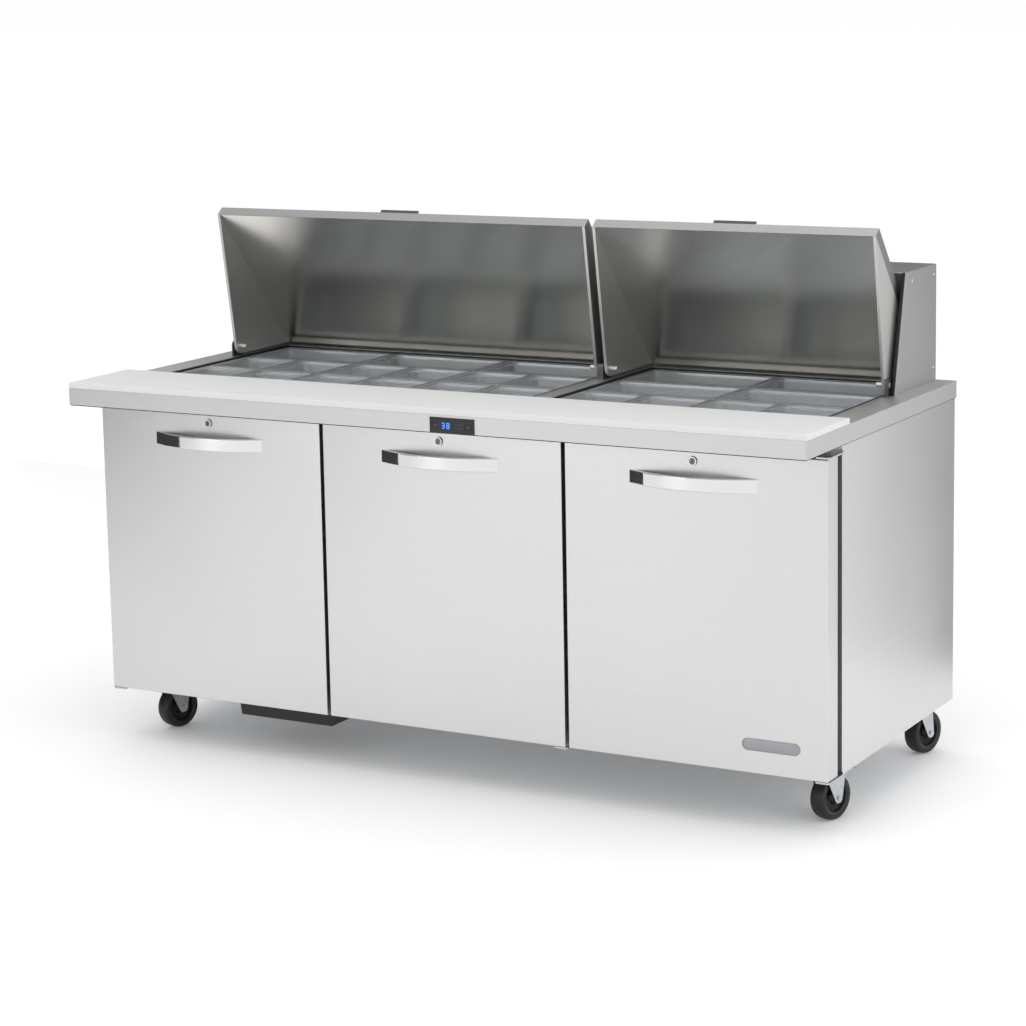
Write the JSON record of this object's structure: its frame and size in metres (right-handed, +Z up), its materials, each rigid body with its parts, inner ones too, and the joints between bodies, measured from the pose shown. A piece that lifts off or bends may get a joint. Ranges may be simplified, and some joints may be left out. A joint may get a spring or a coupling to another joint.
{
  "type": "sandwich prep table",
  "caption": "Refrigerated sandwich prep table with hinged doors, a cutting board, a cold well of food pans under swing-back lids, and swivel casters.",
  "frame": {"origin": "centre of the footprint, on the floor under the wheels", "axes": "+X along the table to the user's right, +Y from the user's side to the back, +Z up"},
  "size_m": [1.839, 0.8816, 1.2424],
  "materials": {
    "stainless": "brushed stainless sheet",
    "galvanised": "galvanised sheet",
    "cast_metal": "polished plated metal",
    "zinc_plate": "bright zinc plate",
    "black_plastic": "matte black plastic",
    "control_face": "glossy black plastic",
    "gasket_vinyl": "soft grey vinyl",
    "bumper_rubber": "black rubber",
    "tyre_rubber": "black rubber",
    "white_board": "white polyethylene",
    "clear_pan": "clear polycarbonate",
    "aluminium_liner": "satin aluminium sheet",
    "lid_lining": "polished stainless sheet",
    "coil_fins": "aluminium fins on copper tube",
    "foam": "foamed polyurethane",
    "machine_paint": "black enamel",
    "wire_coating": "epoxy coated wire",
    "fan_plastic": "moulded plastic",
    "pull_metal": "dark grey powder coat"
  },
  "bodies": {
    "cabinet": {"back_panel": "galvanised", "bottom_panel": "galvanised", "caster_plates": "zinc_plate", "compressor": "machine_paint", "condenser_coil": "coil_fins", "controller_housing": "control_face", "cord_gland": "black_plastic", "door_hinges": "zinc_plate", "drain_pan": "black_plastic", "evaporator_coil": "coil_fins", "front_frame": "aluminium_liner", "hood_panels": "stainless", "hood_trims": "black_plastic", "insulation": "foam", "lid_pivot_brackets": "zinc_plate", "liner_panels": "aluminium_liner", "pan_trim": "black_plastic", "pans": "clear_pan", "rear_bumpers": "bumper_rubber", "rear_grille": "galvanised", "shelf_pilasters": "zinc_plate", "shelves": "wire_coating", "side_panels": "stainless", "worktop_front": "stainless", "worktop_surround": "stainless"},
    "door_left": {"door_left_panel": "stainless", "door_left_gasket": "gasket_vinyl", "door_left_handle": "cast_metal"},
    "lock_left": {"lock_left": "cast_metal"},
    "door_middle": {"door_middle_panel": "stainless", "door_middle_gasket": "gasket_vinyl", "door_middle_handle": "cast_metal"},
    "lock_middle": {"lock_middle": "cast_metal"},
    "door_right": {"door_right_panel": "stainless", "door_right_gasket": "gasket_vinyl", "door_right_handle": "cast_metal"},
    "lock_right": {"lock_right": "cast_metal"},
    "lid_left": {"lid_left_shell": "stainless", "lid_left_liner": "lid_lining", "lid_left_ends": "stainless", "lid_left_pull": "pull_metal"},
    "lid_right": {"lid_right_shell": "stainless", "lid_right_liner": "lid_lining", "lid_right_ends": "stainless", "lid_right_pull": "pull_metal"},
    "cutting_board": {"cutting_board": "white_board"},
    "key_down": {"key_down": "control_face"},
    "key_up": {"key_up": "control_face"},
    "condenser_fan": {"condenser_fan": "fan_plastic"},
    "evaporator_fan": {"evaporator_fan": "fan_plastic"},
    "caster_front_left": {"caster_front_left_fork": "zinc_plate"},
    "wheel_front_left": {"caster_front_left_wheel": "tyre_rubber"},
    "brake_front_left": {"caster_front_left_brake": "black_plastic"},
    "caster_front_right": {"caster_front_right_fork": "zinc_plate"},
    "wheel_front_right": {"caster_front_right_wheel": "tyre_rubber"},
    "brake_front_right": {"caster_front_right_brake": "black_plastic"},
    "caster_rear_left": {"caster_rear_left_fork": "zinc_plate"},
    "wheel_rear_left": {"caster_rear_left_wheel": "tyre_rubber"},
    "caster_rear_right": {"caster_rear_right_fork": "zinc_plate"},
    "wheel_rear_right": {"caster_rear_right_wheel": "tyre_rubber"}
  },
  "joints": [
    {"name": "door_left_swing", "type": "hinge", "parent": "cabinet", "child": "door_left", "pos_m": [-0.902, -0.30725, 0.466], "axis": [0, 0, -1], "range_deg": [0, 100]},
    {"name": "lock_left_turn", "type": "hinge", "parent": "door_left", "child": "lock_left", "pos_m": [-0.61367, -0.30875, 0.783], "axis": [0, 1, 0], "range_deg": [0, 90]},
    {"name": "door_middle_swing", "type": "hinge", "parent": "cabinet", "child": "door_middle", "pos_m": [0.28833, -0.30725, 0.466], "axis": [0, 0, 1], "range_deg": [0, 100]},
    {"name": "lock_middle_turn", "type": "hinge", "parent": "door_middle", "child": "lock_middle", "pos_m": [0, -0.30875, 0.783], "axis": [0, 1, 0], "range_deg": [0, 90]},
    {"name": "door_right_swing", "type": "hinge", "parent": "cabinet", "child": "door_right", "pos_m": [0.902, -0.30725, 0.466], "axis": [0, 0, 1], "range_deg": [0, 100]},
    {"name": "lock_right_turn", "type": "hinge", "parent": "door_right", "child": "lock_right", "pos_m": [0.61367, -0.30875, 0.783], "axis": [0, 1, 0], "range_deg": [0, 90]},
    {"name": "lid_left_close", "type": "hinge", "parent": "cabinet", "child": "lid_left", "pos_m": [-0.352, 0.16125, 0.888], "axis": [1, 0, 0], "range_deg": [0, 81]},
    {"name": "lid_right_close", "type": "hinge", "parent": "cabinet", "child": "lid_right", "pos_m": [0.5145, 0.16125, 0.888], "axis": [1, 0, 0], "range_deg": [0, 81]},
    {"name": "board_lift", "type": "slide", "parent": "cabinet", "child": "cutting_board", "axis": [0, 0, 1], "range_m": [0, 0.15]},
    {"name": "key_down_press", "type": "slide", "parent": "cabinet", "child": "key_down", "axis": [0, 1, 0], "range_m": [0, 0.0012], "stiffness_N_per_m": 400},
    {"name": "key_up_press", "type": "slide", "parent": "cabinet", "child": "key_up", "axis": [0, 1, 0], "range_m": [0, 0.0012], "stiffness_N_per_m": 400},
    {"name": "condenser_fan_spin", "type": "hinge", "parent": "cabinet", "child": "condenser_fan", "pos_m": [-0.5495, 0.34125, 0.225], "axis": [0, 1, 0], "continuous": true},
    {"name": "evaporator_fan_spin", "type": "hinge", "parent": "cabinet", "child": "evaporator_fan", "pos_m": [0, 0.29625, 0.641], "axis": [0, 1, 0], "continuous": true},
    {"name": "caster_front_left_swivel", "type": "hinge", "parent": "cabinet", "child": "caster_front_left", "pos_m": [-0.8505, -0.19875, 0.116], "axis": [0, 0, 1], "continuous": true},
    {"name": "wheel_front_left_roll", "type": "hinge", "parent": "caster_front_left", "child": "wheel_front_left", "pos_m": [-0.84173, -0.17006, 0.05], "axis": [0.9563, -0.2924, 0], "continuous": true},
    {"name": "brake_front_left_press", "type": "hinge", "parent": "caster_front_left", "child": "brake_front_left", "pos_m": [-0.83764, -0.15667, 0.106], "axis": [0.9563, -0.2924, 0], "range_deg": [-25, 0]},
    {"name": "caster_front_right_swivel", "type": "hinge", "parent": "cabinet", "child": "caster_front_right", "pos_m": [0.8505, -0.19875, 0.116], "axis": [0, 0, 1], "continuous": true},
    {"name": "wheel_front_right_roll", "type": "hinge", "parent": "caster_front_right", "child": "wheel_front_right", "pos_m": [0.85927, -0.17006, 0.05], "axis": [0.9563, -0.2924, 0], "continuous": true},
    {"name": "brake_front_right_press", "type": "hinge", "parent": "caster_front_right", "child": "brake_front_right", "pos_m": [0.86336, -0.15667, 0.106], "axis": [0.9563, -0.2924, 0], "range_deg": [-25, 0]},
    {"name": "caster_rear_left_swivel", "type": "hinge", "parent": "cabinet", "child": "caster_rear_left", "pos_m": [-0.8505, 0.35725, 0.116], "axis": [0, 0, 1], "continuous": true},
    {"name": "wheel_rear_left_roll", "type": "hinge", "parent": "caster_rear_left", "child": "wheel_rear_left", "pos_m": [-0.84173, 0.38594, 0.05], "axis": [0.9563, -0.2924, 0], "continuous": true},
    {"name": "caster_rear_right_swivel", "type": "hinge", "parent": "cabinet", "child": "caster_rear_right", "pos_m": [0.8505, 0.35725, 0.116], "axis": [0, 0, 1], "continuous": true},
    {"name": "wheel_rear_right_roll", "type": "hinge", "parent": "caster_rear_right", "child": "wheel_rear_right", "pos_m": [0.85927, 0.38594, 0.05], "axis": [0.9563, -0.2924, 0], "continuous": true}
  ]
}
